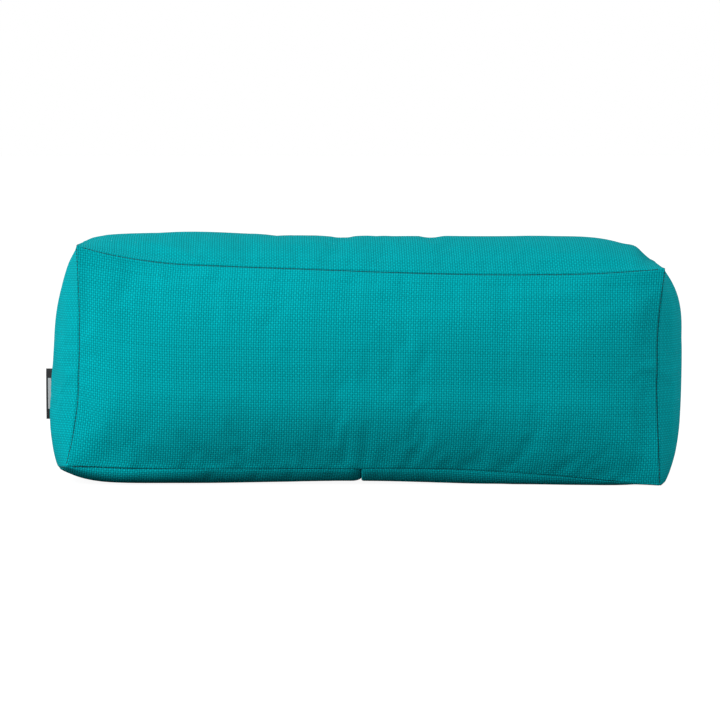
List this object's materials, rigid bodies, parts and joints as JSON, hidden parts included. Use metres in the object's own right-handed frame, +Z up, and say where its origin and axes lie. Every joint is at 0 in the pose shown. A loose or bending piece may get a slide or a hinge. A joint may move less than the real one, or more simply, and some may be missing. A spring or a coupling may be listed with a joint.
{
  "type": "bolster pillow",
  "caption": "Box-shaped bolster pillow: sewn fabric cover with a zipped underside, a side label and a bead-filled liner, for support under knees, ankles or neck.",
  "frame": {"origin": "on the floor, under the middle of the whole part's box", "axes": "+X along the length towards the end without the label, +Y from the front panel to the back panel, +Z up"},
  "size_m": [0.6648, 0.2394, 0.248],
  "materials": {
    "cover_cloth": "matte",
    "thread": "matte",
    "zip_tape": "matte",
    "zip_coil": "satin",
    "zip_metal": "satin",
    "label_cloth": "satin",
    "liner_cloth": "matte",
    "beads": "matte"
  },
  "bodies": {
    "cover": {"front_panel": "cover_cloth", "back_panel": "cover_cloth", "top_panel": "cover_cloth", "left_end_panel": "cover_cloth", "right_end_panel": "cover_cloth", "bottom_panel_left": "cover_cloth", "bottom_panel_right": "cover_cloth", "front_seam_overlock": "thread", "back_seam_overlock": "thread", "end_seam_overlock": "thread", "zip_tape_left": "zip_tape", "zip_tape_right": "zip_tape", "zip_coil_left": "zip_coil", "zip_coil_right": "zip_coil", "zip_top_stops": "zip_metal", "zip_bottom_stop": "zip_metal", "zip_stitching": "thread", "liner_sleeve": "liner_cloth", "liner_end_left": "liner_cloth", "liner_end_right": "liner_cloth", "bead_filling": "beads"},
    "zip_slider": {"zip_slider": "zip_metal"},
    "zip_pull": {"zip_pull": "zip_metal"},
    "side_label": {"side_label": "label_cloth"}
  },
  "joints": [
    {"name": "zip_slide", "type": "slide", "parent": "cover", "child": "zip_slider", "axis": [0, -1, 0], "range_m": [0, 0.108]},
    {"name": "pull_swing", "type": "hinge", "parent": "zip_slider", "child": "zip_pull", "pos_m": [0.0021, 0.054, 0.00275], "axis": [1, 0, 0], "range_deg": [0, 165]},
    {"name": "label_flex", "type": "hinge", "parent": "cover", "child": "side_label", "pos_m": [-0.2901, 0.0974, 0.075], "axis": [0, 0, 1], "range_deg": [-75, 30], "stiffness_Nm_per_rad": 0.0005}
  ]
}
